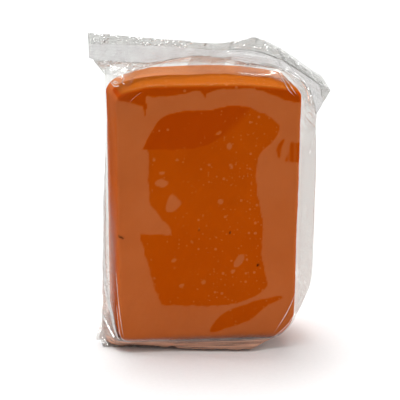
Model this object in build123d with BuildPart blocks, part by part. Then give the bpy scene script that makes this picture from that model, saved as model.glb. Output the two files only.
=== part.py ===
"""A bar of detailing clay, heat-sealed in a clear film flow wrap. Millimetres, +Z up, front towards -Y.

The origin is on the flat underside of the folded bottom seal, below the middle of the clay bar. The film is one
web in reality. Each zone that it is formed into is a part of its own here, drawn at a stand-in gauge.
"""

import os

from build123d import *

# --- Driving dimensions ---
CLAY_TOP_WIDTH = 52.5
CLAY_LEFT_TAPER = 1.85  # how much further in the left side is at the base; the right side is upright
CLAY_DEPTH = 27.0
CLAY_HEIGHT = 75.0
CLAY_EDGE_RADIUS = 1.8  # all round the front and back faces
CLAY_CORNER_RADIUS = 3.0  # three of the corners, seen from the front
CLAY_WORN_CORNER_RADIUS = 8.0  # the lower right corner, which the tight film has rounded off
CLAY_CROWN_LINE = -3.9  # where the top is highest
CLAY_LEFT_DROP = 1.2  # from there down to the left and right corners, along an arc
CLAY_RIGHT_DROP = 1.6

FILM_GAUGE = 0.4  # stand-in for 0.05 mm film
FILM_GAP = 0.25  # from the clay to the film
WELD_GAUGE = 2 * FILM_GAUGE  # two layers, welded together
MEETING_GAP = 0.05  # between one film zone and the next

BASE_FOLD_HEIGHT = 3.0  # what the folded bottom film lifts the clay by
BOTTOM_SEAL_HEIGHT = 1.2  # the folded bottom seal, which the bar stands on
SLEEVE_START = 5.0  # height of the sleeve's lower rim

SLACK_REACH = 7.0  # how far the slack film stands off the right side
SLACK_HEIGHTS = (5.0, 16.0, 60.0, 66.0, 78.0)
SLACK_SHARES = (0.2, 0.95, 1.0, 0.6, 0.1)  # of the reach, at those heights

BACK_SEAM_WIDTH = 12.0
BACK_SEAM_LINE = 1.0  # where the seam stands, just right of the middle

SEAL_LEFT = -31.0
SEAL_RIGHT = 26.0
SEAL_LEFT_HEIGHT = 83.6
SEAL_RIGHT_HEIGHT = 79.4
SEAL_BAND_HEIGHT = 4.0
CRIMP_RIBS = 4
CRIMP_RIB_PITCH = 0.8
CRIMP_RIB_SIZE = 0.3

# The cut edge above the top seal as (x, z), from the left corner to where the right end folds over the shoulder
CUT_EDGE = ((-31.4, 90.9), (1.1, 87.4), (6.6, 87.0), (16.9, 87.6), (22.3, 84.6))
# The seal's right end, which hangs over the bar's shoulder: from the cut edge round its tip to the slack film
HANGING_END = (
    (26.05, 82.0),
    (27.5, 81.2),
    (35.0, 76.1),
    (37.7, 72.0),
    (33.4, 67.2),
    (31.4, 69.8),
    (29.9, 76.4),
    (26.05, 79.6),
)

BOTTOM_SEAL_LEFT = -27.0
BOTTOM_SEAL_RIGHT = 17.0
BOTTOM_SEAL_DEPTH = 25.6
LEFT_EAR = ((-27.05, 0.4), (-31.4, 1.4), (-28.6, 6.4), (-27.05, 6.8))  # (x, z)

# --- Worked out from those ---
CLAY_TOP = BASE_FOLD_HEIGHT + CLAY_HEIGHT
SLEEVE_END = CLAY_TOP + FILM_GAP
INNER_WIDTH = CLAY_TOP_WIDTH + 2 * FILM_GAP
INNER_DEPTH = CLAY_DEPTH + 2 * FILM_GAP
OUTER_WIDTH = INNER_WIDTH + 2 * FILM_GAUGE
OUTER_DEPTH = INNER_DEPTH + 2 * FILM_GAUGE
OUTER_RADIUS = CLAY_EDGE_RADIUS + FILM_GAP + FILM_GAUGE
INNER_RADIUS = OUTER_RADIUS - FILM_GAUGE
SLACK_BASE_WIDTH = OUTER_DEPTH - 2 * OUTER_RADIUS
SLACK_START = OUTER_WIDTH / 2 + MEETING_GAP
BACK_FACE = OUTER_DEPTH / 2 + MEETING_GAP
SEAL_MIDDLE = (SEAL_LEFT + SEAL_RIGHT) / 2
SEAL_MIDDLE_HEIGHT = (SEAL_LEFT_HEIGHT + SEAL_RIGHT_HEIGHT) / 2
SEAL_SLOPE = (SEAL_RIGHT_HEIGHT - SEAL_LEFT_HEIGHT) / (SEAL_RIGHT - SEAL_LEFT)


def seal_height(x):
    """Height of the top seal's lower edge, which slopes down to the right."""
    return SEAL_LEFT_HEIGHT + SEAL_SLOPE * (x - SEAL_LEFT)


def finish(part, name):
    """Names a finished piece and writes it."""
    part.label = name
    export_step(part, f"parts/{name}.step")


os.makedirs("parts", exist_ok=True)

# --- The clay bar: its left side leans out towards the crowned top, and every edge is rounded ---
with BuildPart() as clay_block:
    with BuildSketch(Plane.XZ):
        left_shoulder = (-CLAY_TOP_WIDTH / 2, CLAY_TOP - CLAY_LEFT_DROP)
        left_base = (CLAY_LEFT_TAPER - CLAY_TOP_WIDTH / 2, BASE_FOLD_HEIGHT)
        right_base = (CLAY_TOP_WIDTH / 2, BASE_FOLD_HEIGHT)
        right_shoulder = (CLAY_TOP_WIDTH / 2, CLAY_TOP - CLAY_RIGHT_DROP)
        with BuildLine():
            Polyline(left_shoulder, left_base, right_base, right_shoulder)
            ThreePointArc(right_shoulder, (CLAY_CROWN_LINE, CLAY_TOP), left_shoulder)
        make_face()
        fillet(vertices().sort_by_distance(right_base)[0], CLAY_WORN_CORNER_RADIUS)
        for corner in (left_shoulder, left_base, right_shoulder):
            fillet(vertices().sort_by_distance(corner)[0], CLAY_CORNER_RADIUS)
    extrude(amount=CLAY_DEPTH / 2, both=True)
    rims = faces().filter_by(Axis.Y)
    fillet(rims.edges(), CLAY_EDGE_RADIUS)
finish(clay_block.part, "clay_block")

# --- The sleeve: film that hugs the front, the left side and the back, open to the slack on the right ---
with BuildPart() as film_sleeve:
    with BuildSketch(Plane.XY.offset(SLEEVE_START)):
        RectangleRounded(OUTER_WIDTH, OUTER_DEPTH, OUTER_RADIUS)
        RectangleRounded(INNER_WIDTH, INNER_DEPTH, INNER_RADIUS, mode=Mode.SUBTRACT)
        with Locations((OUTER_WIDTH / 2, 0)):
            Rectangle(4 * FILM_GAUGE, SLACK_BASE_WIDTH, mode=Mode.SUBTRACT)
    extrude(amount=SLEEVE_END - SLEEVE_START)
finish(film_sleeve.part, "film_sleeve")

# --- The slack: a lengthwise V of loose film that stands off the right side, to the web's folded edge ---
with BuildPart() as side_slack:
    for wall, mode in ((0, Mode.ADD), (FILM_GAUGE, Mode.SUBTRACT)):
        for height, share in zip(SLACK_HEIGHTS, SLACK_SHARES):
            half_width = SLACK_BASE_WIDTH / 2 - wall
            tip = SLACK_START + SLACK_REACH * share - wall
            with BuildSketch(Plane.XY.offset(height)):
                Polygon((SLACK_START, -half_width), (tip, 0), (SLACK_START, half_width), align=None)
        loft(ruled=True, mode=mode)
finish(side_slack.part, "side_slack")

# --- The back seam: the web's two edges welded face to face, and the fin folded flat against the back ---
with BuildPart() as back_fin_seam:
    with Locations((BACK_SEAM_LINE, BACK_FACE, SLEEVE_START)):
        Box(
            BACK_SEAM_WIDTH,
            WELD_GAUGE,
            SLEEVE_END - SLEEVE_START,
            align=(Align.MIN, Align.MIN, Align.MIN),
        )
    fillet(edges().filter_by(Axis.Z), WELD_GAUGE / 3)
finish(back_fin_seam.part, "back_fin_seam")

# --- The top gather: film drawn in from the sleeve's rim to the top seal, over an air gap ---
ridge_plane = Plane(
    origin=(SEAL_MIDDLE, 0, SEAL_MIDDLE_HEIGHT - MEETING_GAP),
    x_dir=(1, 0, SEAL_SLOPE),
    z_dir=(-SEAL_SLOPE, 0, 1),
)
with BuildPart() as top_gather:
    for wall, mode in ((0, Mode.ADD), (FILM_GAUGE, Mode.SUBTRACT)):
        with BuildSketch(Plane.XY.offset(SLEEVE_END + MEETING_GAP)):
            RectangleRounded(OUTER_WIDTH - 2 * wall, OUTER_DEPTH - 2 * wall, OUTER_RADIUS - wall)
        with BuildSketch(ridge_plane.offset(-wall)):
            ridge_length = SEAL_RIGHT - SEAL_LEFT - 2 * wall
            ridge_width = 2 * WELD_GAUGE - 2 * wall
            RectangleRounded(ridge_length, ridge_width, ridge_width / 3)
        loft(ruled=True, mode=mode)
finish(top_gather.part, "top_gather")

# --- The top seal: the band where both layers are welded, with crimp ribs along it ---
with BuildPart() as top_seal_band:
    with BuildSketch(Plane.XZ):
        Polygon(
            (SEAL_LEFT, seal_height(SEAL_LEFT)),
            (SEAL_RIGHT, seal_height(SEAL_RIGHT)),
            (SEAL_RIGHT, seal_height(SEAL_RIGHT) + SEAL_BAND_HEIGHT / 2),
            (SEAL_RIGHT - SEAL_BAND_HEIGHT, seal_height(SEAL_RIGHT - SEAL_BAND_HEIGHT) + SEAL_BAND_HEIGHT),
            (SEAL_LEFT, seal_height(SEAL_LEFT) + SEAL_BAND_HEIGHT),
            align=None,
        )
    extrude(amount=WELD_GAUGE / 2, both=True)
    for rib in range(CRIMP_RIBS):
        rib_height = SEAL_MIDDLE_HEIGHT + SEAL_BAND_HEIGHT / 2 + (rib - (CRIMP_RIBS - 1) / 2) * CRIMP_RIB_PITCH
        with BuildSketch(Plane((SEAL_MIDDLE, 0, rib_height), x_dir=(1, 0, SEAL_SLOPE), z_dir=(0, -1, 0))):
            Rectangle(SEAL_RIGHT - SEAL_LEFT - 3 * SEAL_BAND_HEIGHT, CRIMP_RIB_SIZE)
        extrude(amount=WELD_GAUGE / 2 + CRIMP_RIB_SIZE / 2, both=True)
finish(top_seal_band.part, "top_seal_band")

# --- The skirt: loose crinkled film between the weld and the cut edge ---
with BuildPart() as top_seal_skirt:
    with BuildSketch(Plane.XZ):
        skirt_foot = [
            (x, seal_height(x) + SEAL_BAND_HEIGHT + MEETING_GAP)
            for x in (SEAL_RIGHT - SEAL_BAND_HEIGHT, SEAL_LEFT)
        ]
        Polygon(*skirt_foot, *CUT_EDGE, align=None)
    extrude(amount=FILM_GAUGE, both=True)
finish(top_seal_skirt.part, "top_seal_skirt")

# --- The hanging end: the seal's right end, folded down over the bar's shoulder ---
with BuildPart() as seal_hanging_end:
    with BuildSketch(Plane.XZ):
        Polygon(*HANGING_END, align=None)
    extrude(amount=WELD_GAUGE / 2, both=True)
finish(seal_hanging_end.part, "seal_hanging_end")

# --- The bottom gather: a shallow tray of film under the bar, drawn in to the bottom seal ---
with BuildPart() as bottom_gather:
    for wall, mode in ((0, Mode.ADD), (FILM_GAUGE, Mode.SUBTRACT)):
        with BuildSketch(Plane.XY.offset(SLEEVE_START - MEETING_GAP)):
            RectangleRounded(OUTER_WIDTH - 2 * wall, OUTER_DEPTH - 2 * wall, OUTER_RADIUS - wall)
        with BuildSketch(Plane.XY.offset(BOTTOM_SEAL_HEIGHT + wall)):
            with Locations(((BOTTOM_SEAL_LEFT + BOTTOM_SEAL_RIGHT) / 2, 0)):
                RectangleRounded(
                    BOTTOM_SEAL_RIGHT - BOTTOM_SEAL_LEFT - 2 * wall,
                    BOTTOM_SEAL_DEPTH - 2 * wall,
                    OUTER_RADIUS - wall,
                )
        loft(ruled=True, mode=mode)
finish(bottom_gather.part, "bottom_gather")

# --- The bottom seal: folded flat under the bar, the face that it stands on ---
with BuildPart() as bottom_end_seal:
    with BuildSketch():
        with Locations(((BOTTOM_SEAL_LEFT + BOTTOM_SEAL_RIGHT) / 2, 0)):
            RectangleRounded(BOTTOM_SEAL_RIGHT - BOTTOM_SEAL_LEFT, BOTTOM_SEAL_DEPTH, OUTER_RADIUS)
    extrude(amount=BOTTOM_SEAL_HEIGHT)
finish(bottom_end_seal.part, "bottom_end_seal")

# --- The left ear: the bottom corner of the web, which sticks out beside the bar ---
with BuildPart() as bottom_left_ear:
    with BuildSketch(Plane.XZ):
        Polygon(*LEFT_EAR, align=None)
    extrude(amount=WELD_GAUGE / 2, both=True)
finish(bottom_left_ear.part, "bottom_left_ear")
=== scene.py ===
"""The looks of a clay bar sealed in clear flow-wrap film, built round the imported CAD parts.

Shapes are worked out in millimetres, with the CAD's origin and axes, and become metres when a mesh is made.
The film tube comes from a small cloth solver of the script's own: stretch, shear and bending links on a grid,
held at the two end seals, lying against the clay and the floor. The script is deterministic: its few random
draws have fixed seeds.
"""

import math

import bpy
import numpy as np
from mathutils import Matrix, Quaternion, Vector


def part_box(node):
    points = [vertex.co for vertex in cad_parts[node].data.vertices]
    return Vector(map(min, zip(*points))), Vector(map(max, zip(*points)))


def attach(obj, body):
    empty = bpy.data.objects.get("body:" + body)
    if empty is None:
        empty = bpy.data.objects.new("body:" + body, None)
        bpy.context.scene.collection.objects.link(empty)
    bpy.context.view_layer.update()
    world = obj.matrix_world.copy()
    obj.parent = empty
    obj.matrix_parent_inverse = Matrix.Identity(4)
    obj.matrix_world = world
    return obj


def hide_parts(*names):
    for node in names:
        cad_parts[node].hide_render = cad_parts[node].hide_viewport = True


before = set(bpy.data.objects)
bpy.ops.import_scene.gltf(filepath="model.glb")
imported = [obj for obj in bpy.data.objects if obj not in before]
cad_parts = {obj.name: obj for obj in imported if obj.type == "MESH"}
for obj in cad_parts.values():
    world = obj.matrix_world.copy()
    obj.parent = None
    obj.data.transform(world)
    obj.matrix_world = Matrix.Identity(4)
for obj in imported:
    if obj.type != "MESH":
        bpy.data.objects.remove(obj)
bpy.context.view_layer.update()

MM = 0.001

# --- The clay, from its CAD box ---
clay_low, clay_high = (np.array(corner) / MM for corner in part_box("clay_block"))
CLAY_HALF_HEIGHT = (clay_high[2] - clay_low[2]) / 2
CLAY_MIDDLE = (clay_high[2] + clay_low[2]) / 2
CLAY_TOP = clay_high[2]
CLAY_HALF_DEPTH = (clay_high[1] - clay_low[1]) / 2
CLAY_TOP_HALF_WIDTH = 26.25
CLAY_LEFT_TAPER = 1.85  # how much further in the left side is at the base; the right side is upright
RIM_RADIUS = 1.1
CORNER_RADIUS = 3.0
UPPER_RIGHT_RADIUS = 2.0
# How far the crowned top is below its highest level, as (x, drop), at its front edge and at its back edge
FRONT_DROP = (
    (-25.8, 1.9), (-23.9, 1.2), (-17.6, -0.4), (-12.4, -0.6), (-5.5, -0.6), (1.5, -0.6), (8.5, -0.6),
    (17.9, 0.2), (22.6, 0.8), (25.5, 1.5),
)
BACK_DROP = (
    (-26.3, 5.0), (-24, 3.9), (-22, 2.9), (-19, 1.8), (-13.4, 0.6), (-3, 0.2), (7, 0.2), (13, 0.6), (19, 1.4),
    (26.3, 2.8),
)
CROWN_DEPTH = 16.0  # how far down the sides the crown's drop fades out
WORN_CORNER_RADIUS = 8.0  # lower right, seen from the front
LATTICE = (140, 56, 196)  # squares across, through and up the clay's mesh
NICK_X, NICK_Z = -0.9, 77.5  # a small nick in the top of the front face

# --- The film ---
FILM_GAP = 0.16  # from the clay to the film's middle
FILM_THICKNESS = 0.05
COLUMNS = 128  # round the tube; column 0 is its left fold, and the front comes first
TUBE_LENGTH = 109.5
ROWS = 88
UNDER_LENGTH = 13.0  # film from the bottom seal to the bar's front edge
FOOT_HEIGHT = 0.5  # of the film where it turns under the bar
LEAST_HEIGHT = 0.1  # of any film above the floor
LEAST_SETTLING_HEIGHT = 0.12  # and while it settles
RIM_LENGTH = 90.5  # film from the bottom seal to the clay's top edge
STUCK_LENGTH = 104.5  # film from the bottom seal to where it lifts off the clay's top
SHOULDER_DROP = 18.0  # how much sooner the tube ends at its right fold
LOWEST_SQUEEZED = 40.0  # film length from which that shortening is shared out
STUCK_CRINKLE = 0.1  # how creased the film looks where it is stuck down
SETTLING_STEPS = 120
LINK_STRENGTH = 0.9  # share of a link's strain that one step takes out
BENDING_STRENGTH = 0.06  # share of the way to an even bend in one step
MEMORY_STRENGTH = 0.004  # share of the way back to the designed shape in one step


def ramp(x, low, high):
    """0 below low, 1 above high, smooth between."""
    t = np.clip((np.asarray(x, float) - low) / (high - low), 0, 1)
    return t * t * (3 - 2 * t)


def window(x, low, full, fading, high):
    """0 below low, 1 from full to fading, 0 above high, smooth between."""
    return ramp(x, low, full) * (1 - ramp(x, fading, high))


def clay_sides(z):
    """The middle and half the width of the clay at a height: only its left side tapers."""
    inset = CLAY_LEFT_TAPER * (1 - np.clip((z - CLAY_MIDDLE) / (2 * CLAY_HALF_HEIGHT) + 0.5, 0, 1))
    return inset / 2, CLAY_TOP_HALF_WIDTH - inset / 2


def waves(points, scale, seed, octaves=3):
    """Smooth noise in -1..1 at (n, 3) points: sums of sines whose directions turn by the golden angle."""
    total = np.zeros(len(points))
    weight = 0.0
    for octave in range(octaves):
        for k in range(5):
            turn = (seed * 7 + octave * 5 + k) * 2.39996
            tilt = math.sin(turn * 1.7 + seed)
            direction = np.array([math.cos(turn), math.sin(turn), tilt])
            phase = turn * 3.1 + seed
            total += np.sin(points @ direction * (2 * math.pi * 1.9**octave / scale) + phase) / 1.9**octave
        weight += 2.2 / 1.9**octave
    return total / weight


def crumpled(points, scale, seed):
    """The height of crumpled film at (n, 3) points: sharp ridges up to 1, with rounder hollows between."""
    return 1 - 2 * np.abs(waves(points, scale, seed, 2))


def spline(points, count, closed=False):
    """count points on a Catmull-Rom curve through the given ones, evenly spaced in arc length."""
    p = np.array(points, float)
    ends = (p[-1:], p[:2]) if closed else (2 * p[:1] - p[1:2], 2 * p[-1:] - p[-2:-1])
    q = np.concatenate([ends[0], p, ends[1]])
    t = np.linspace(0, 1, 24, endpoint=False)[:, None]
    spans = []
    for a, b, c, d in zip(q, q[1:], q[2:], q[3:]):
        bend, twist = 2 * a - 5 * b + 4 * c - d, 3 * b - a - 3 * c + d
        spans.append(0.5 * (2 * b + (c - a) * t + bend * t**2 + twist * t**3))
    dense = np.concatenate([*spans, p[:1] if closed else p[-1:]])
    run = np.concatenate([[0], np.cumsum(np.linalg.norm(np.diff(dense, axis=0), axis=1))])
    at = np.linspace(0, run[-1], count, endpoint=not closed)
    return np.stack([np.interp(at, run, dense[:, axis]) for axis in range(dense.shape[1])], axis=1)


def inside(points, outline):
    """Signed distance of (n, 2) points from a closed outline: negative inside it."""
    start, end = outline, np.roll(outline, -1, axis=0)
    nearest = np.full(len(points), 1e9)
    winding = np.zeros(len(points), bool)
    for a, b in zip(start, end):
        edge, to_point = b - a, points - a
        along = np.clip(to_point @ edge / (edge @ edge + 1e-12), 0, 1)
        nearest = np.minimum(nearest, np.linalg.norm(to_point - along[:, None] * edge, axis=1))
        crosses = (a[1] > points[:, 1]) != (b[1] > points[:, 1])
        side = (points[:, 1] - a[1]) * (b[0] - a[0]) - (points[:, 0] - a[0]) * (b[1] - a[1])
        winding ^= crosses & ((side > 0) == (b[1] < a[1]))
    return np.where(winding, -nearest, nearest)


def mesh_piece(name, points, faces, material, smooth=True, attributes=None):
    """A mesh object from points in millimetres."""
    mesh = bpy.data.meshes.new(name)
    mesh.from_pydata((np.asarray(points) * MM).tolist(), [], faces)
    mesh.polygons.foreach_set("use_smooth", [smooth] * len(mesh.polygons))
    for key, values in (attributes or {}).items():
        mesh.attributes.new(key, "FLOAT", "POINT").data.foreach_set("value", np.asarray(values, np.float32))
    mesh.materials.append(material)
    piece = bpy.data.objects.new(name, mesh)
    bpy.context.scene.collection.objects.link(piece)
    return piece


def grid_faces(columns, rows, closed):
    """Quads of a grid whose point index is row * columns + column."""
    faces = []
    for row in range(rows - 1):
        for column in range(columns if closed else columns - 1):
            a, b = row * columns + column, row * columns + (column + 1) % columns
            faces.append((a, b, b + columns, a + columns))
    return faces


# ---------------------------------------------------------------- the clay


def crown_drop(points):
    """How far below a flat top the crowned one is, at (n, 3) points; it fades out down the sides."""
    front, back = (np.interp(points[:, 0], *np.transpose(table)) for table in (FRONT_DROP, BACK_DROP))
    backness = ramp(points[:, 1], -CLAY_HALF_DEPTH, CLAY_HALF_DEPTH)
    return (front + (back - front) * backness) * ramp(points[:, 2], CLAY_TOP - CROWN_DEPTH, CLAY_TOP)


def corner_radius(x, z):
    """The radius of the corner of the front's outline nearest to (x, z), from the clay's middle."""
    return np.where(x < 0, CORNER_RADIUS, np.where(z < 0, WORN_CORNER_RADIUS, UPPER_RIGHT_RADIUS))


def clay_distance(points):
    """Signed distance of (n, 3) points from the clay."""
    middle, half_width = clay_sides(points[:, 2])
    x, z = points[:, 0] - middle, points[:, 2] + crown_drop(points) - CLAY_MIDDLE
    corner = corner_radius(x, z)
    across = np.abs(x) - (half_width - corner)
    along = np.abs(z) - (CLAY_HALF_HEIGHT - corner)
    outline = np.minimum(np.maximum(across, along), 0) + np.hypot(np.maximum(across, 0), np.maximum(along, 0))
    outline = outline - corner + RIM_RADIUS
    depth = np.abs(points[:, 1]) - (CLAY_HALF_DEPTH - RIM_RADIUS)
    edge = np.hypot(np.maximum(outline, 0), np.maximum(depth, 0))
    return np.minimum(np.maximum(outline, depth), 0) + edge - RIM_RADIUS


def clay_lattice(counts):
    """The surface of a lattice box as points in -1..1 and quads that face outwards."""
    number = np.full([n + 1 for n in counts], -1)
    border = np.zeros(number.shape, bool)
    for axis in range(3):
        for end in (0, -1):
            border[tuple(end if a == axis else slice(None) for a in range(3))] = True
    number[border] = np.arange(border.sum())
    points = np.argwhere(border) / np.array(counts) * 2 - 1
    faces = []
    for axis in range(3):
        for end in (0, -1):
            side = number[tuple(end if a == axis else slice(None) for a in range(3))]
            quads = np.stack([side[:-1, :-1], side[1:, :-1], side[1:, 1:], side[:-1, 1:]], axis=-1)
            flip = (end == 0) != (axis == 1)
            faces.extend(quads.reshape(-1, 4)[:, :: -1 if flip else 1].tolist())
    return points, faces


def rounded_clay(lattice):
    """Lattice points moved onto the rounded, tapered block."""
    x = lattice[:, 0] * CLAY_TOP_HALF_WIDTH
    y = lattice[:, 1] * CLAY_HALF_DEPTH
    z = lattice[:, 2] * CLAY_HALF_HEIGHT
    # Square corners, seen from the front, become round ones
    corner = corner_radius(x, z)
    into_x = np.abs(x) - (CLAY_TOP_HALF_WIDTH - corner)
    into_z = np.abs(z) - (CLAY_HALF_HEIGHT - corner)
    cornered = (into_x > 0) & (into_z > 0)
    length = np.hypot(into_x, into_z) + 1e-9
    shrink = np.where(cornered, np.maximum(into_x, into_z) / length, 1)
    x = np.where(cornered, np.sign(x) * (CLAY_TOP_HALF_WIDTH - corner + into_x * shrink), x)
    z = np.where(cornered, np.sign(z) * (CLAY_HALF_HEIGHT - corner + into_z * shrink), z)
    # The rims of the front and back faces are rounded over to the sides
    inset = np.where(
        cornered,
        corner - length * shrink,
        np.minimum(CLAY_TOP_HALF_WIDTH - np.abs(x), CLAY_HALF_HEIGHT - np.abs(z)),
    )
    nearer_side = CLAY_TOP_HALF_WIDTH - np.abs(x) < CLAY_HALF_HEIGHT - np.abs(z)
    out_x = np.where(cornered, into_x / length, nearer_side) * np.sign(x)
    out_z = np.where(cornered, into_z / length, ~nearer_side) * np.sign(z)
    on_face = np.abs(lattice[:, 1]) > 1 - 1e-6
    face_turn = np.clip((RIM_RADIUS - inset) / RIM_RADIUS, 0, 1) * math.pi / 4
    side_turn = np.clip((np.abs(y) - (CLAY_HALF_DEPTH - RIM_RADIUS)) / RIM_RADIUS, 0, 1) * math.pi / 4
    turn = np.where(on_face, face_turn, math.pi / 2 - side_turn)
    rounded = np.where(on_face, inset < RIM_RADIUS, np.abs(y) > CLAY_HALF_DEPTH - RIM_RADIUS)
    shift = np.where(rounded, inset - RIM_RADIUS * (1 - np.sin(turn)), 0)
    y = np.where(rounded, np.sign(y) * (CLAY_HALF_DEPTH - RIM_RADIUS * (1 - np.cos(turn))), y)
    x, z = x + out_x * shift, z + out_z * shift
    points = np.stack([x, y, z + CLAY_MIDDLE], axis=1)
    middle, half_width = clay_sides(points[:, 2])
    points[:, 0] = points[:, 0] * half_width / CLAY_TOP_HALF_WIDTH + middle
    return points


WEB_TURN = math.radians(1.2)  # how far askew the film's contact pattern lies on the front of the clay
WETTED = 0.75  # the contact value of film that has wetted on to the clay
# Outlines on the front of the clay, as (x, z), where the film has wetted on to it
CONTACT = (
    (-17.9, 60.8), (-15.2, 66.1), (-12.6, 69.5), (-7.9, 71.1), (0, 71.2), (6.9, 72.3), (11.3, 71.9),
    (15.7, 69.7), (19.7, 67.3), (20.6, 64.6), (18.4, 61.1), (15.8, 58.9), (14.5, 56.3), (14.1, 50.9),
    (15, 43.5), (16, 37.5), (16, 27), (17.5, 20.2), (16.6, 17.5), (12.1, 14.9), (4.5, 13.4),
    (-10.2, 14.2), (-13.3, 15.8), (-15.1, 20.1), (-16.8, 26.6), (-18.9, 35.3), (-18.2, 35.9),
    (-9.9, 35.7), (-13.6, 41.2), (-15.8, 44.9), (-16.4, 52), (-16.6, 60.2),
)
LEAF = ((0.9, 5.6), (4.5, 10.6), (12.1, 13.5), (18.4, 15), (22, 14.8), (17.1, 12.3), (12.1, 8.3), (4.1, 5.9))
# The darkest part of the contact is above this line
LOBE_LINE = (
    (-30, 60.6), (-17.9, 60.6), (-5.3, 60.1), (0, 61), (4.3, 63.5), (8.7, 66.9), (12.2, 71), (13, 90),
)
# Along the top edge the film clings in ragged strips down to this line
CLING_LINE = (
    (-30, 75.2), (-24.7, 75.2), (-22.8, 74.4), (-19.7, 74.0), (-18.2, 72.8), (-17.1, 70.3),
    (-16.8, 76.3), (-15.4, 75.8), (-11.6, 75.7), (-6.6, 76.3), (-2.9, 77.0), (-1.9, 76.7), (-0.3, 75.0),
    (0, 76.4), (4.7, 77.3), (12.8, 77.2), (16.4, 75.9), (21, 73.9), (24.9, 72.6), (30, 72.2),
)
# Two marks beside the right edge, where the film is pressed on
CRESCENT = ((22, 62.1), (20.8, 61.2), (19.9, 59.6), (19.8, 58), (20.3, 56.3), (20.9, 57.2), (21.3, 59.4))
PRESSED = ((23.6, 60.8), (28, 60.9), (28, 54.9), (24.2, 55.1), (22.3, 55.7), (22.8, 57.1), (23.4, 57.9))
# An air bubble shaped like a teardrop
TEARDROP = (
    (-10.4, 46.7), (-9.4, 47.1), (-8.1, 45.9), (-7.4, 44.4), (-8.7, 42.7), (-10.4, 42.1), (-11.5, 43.3),
)
# On the clay's top the film clings as far back as this, as (x, y)
LIFT_LINE = ((-24, 2.2), (-19, 1.4), (-5, 0.1), (5, 0.1), (12, -0.6), (16, -1.4), (20, -0.4), (26, 2.6))
# Air bubbles under the film: x, z, half width, half height, lean in degrees
BUBBLES = (
    (-12.7, 50.7, 1.9, 1.1, 0), (9.3, 26.7, 1.1, 2.2, -32), (6.5, 60.7, 0.8, 1.0, 0),
    (7.0, 54.8, 0.5, 0.9, 20), (4.0, 44.5, 0.8, 0.8, 0), (-7.1, 20.1, 0.7, 0.6, 30),
    (-0.9, 20.7, 0.6, 0.7, 0), (-9.3, 27.7, 0.6, 0.5, 0), (-12.7, 53.6, 0.8, 0.6, 0),
    (-14.9, 57.5, 0.5, 0.5, 0), (-15.1, 22.4, 0.4, 0.4, 0), (7.6, 23.6, 0.7, 0.5, 40),
    (-8.1, 57.4, 0.5, 0.4, 0), (3.4, 64.6, 0.9, 0.4, 20), (-4.2, 33.0, 0.3, 0.5, 30),
)
# Dark grit in the clay: x, z, radius
GRIT = (
    (6.6, 35.2, 0.28), (14.7, 25.1, 0.32), (-2.2, 36.5, 0.2), (-25.4, 35.7, 0.22), (-25.05, 35.55, 0.26),
    (-24.7, 35.35, 0.28), (-24.3, 35.15, 0.26), (-23.9, 35, 0.2), (-13.5, 10, 0.16),
)


def with_depth(points):
    """(n, 2) points with a third coordinate of 0, as waves() needs them."""
    return np.column_stack([points, np.zeros(len(points))])


def turned(points):
    """(x, z) points on the front, in the axes of the film's pattern, which is a little askew on the clay."""
    c, s = math.cos(WEB_TURN), math.sin(WEB_TURN)
    x, z = points[:, 0], points[:, 1] - CLAY_MIDDLE
    return np.stack([x * c + z * s, z * c - x * s + CLAY_MIDDLE], axis=1)


def above(points, line, softness=0.2):
    """1 above a line of (x, z) points, 0 below it; softness is half the width of the edge between."""
    line = np.array(line, float)
    height = points[:, 1] - np.interp(points[:, 0], line[:, 0], line[:, 1])
    return ramp(height / softness, -1, 1)


def beyond(points, outline, count, low, high):
    """0 inside a smooth closed outline, 1 beyond it, changing from low to high millimetres outside it."""
    return ramp(inside(points, spline(outline, count, closed=True)), low, high)


def front_contact(points):
    """How closely the film lies on the front of the clay at (x, z) points: 0 air, 0.75 wetted, 1 pressed."""
    points = turned(points)
    wobbly = points + waves(with_depth(points), 5.0, 3)[:, None] * 0.22
    patch = 1 - beyond(wobbly, CONTACT, 240, -0.14, 0.14)
    patch *= WETTED + (1 - WETTED) * above(wobbly, LOBE_LINE, 0.2 + 2.2 * ramp(wobbly[:, 0], 2, 8))
    leaf = 0.85 * (1 - beyond(wobbly, LEAF, 80, -0.2, 0.3))
    cling = 0.95 * above(wobbly, CLING_LINE)
    for x, z, half_width, half_height, lean in BUBBLES:
        c, s = math.cos(math.radians(lean)), math.sin(math.radians(lean))
        over, up = wobbly[:, 0] - x, wobbly[:, 1] - z
        size = np.hypot((over * c + up * s) / half_width, (up * c - over * s) / half_height)
        patch *= ramp(size, 0.85, 1.15)
    patch *= beyond(wobbly, TEARDROP, 60, -0.2, 0.3)
    crescent = 0.9 * (1 - beyond(wobbly, CRESCENT, 60, -0.25, 0.25))
    pleats = 0.72 + 0.25 * np.sin(points[:, 0] * 3.4 + 0.9)
    pressed = pleats * (1 - ramp(inside(wobbly, np.array(PRESSED)), -0.25, 0.25))
    return np.maximum.reduce([patch, leaf, cling, crescent, pressed])


def back_contact(points):
    """The same on the back, which has one broad oval patch on either side of the seam's fin."""
    left = np.hypot((points[:, 0] + 12) / 9.5, (points[:, 1] - 42) / 27)
    right = np.hypot((points[:, 0] - 17) / 6.0, (points[:, 1] - 36) / 24)
    return 0.8 * (1 - ramp(np.minimum(left, right) + 0.22 * waves(with_depth(points), 22.0, 9), 0.97, 1.0))


def lift_line(x):
    """How far back the film clings to the clay's top."""
    return look_up(x, LIFT_LINE)[..., 0]


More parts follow.
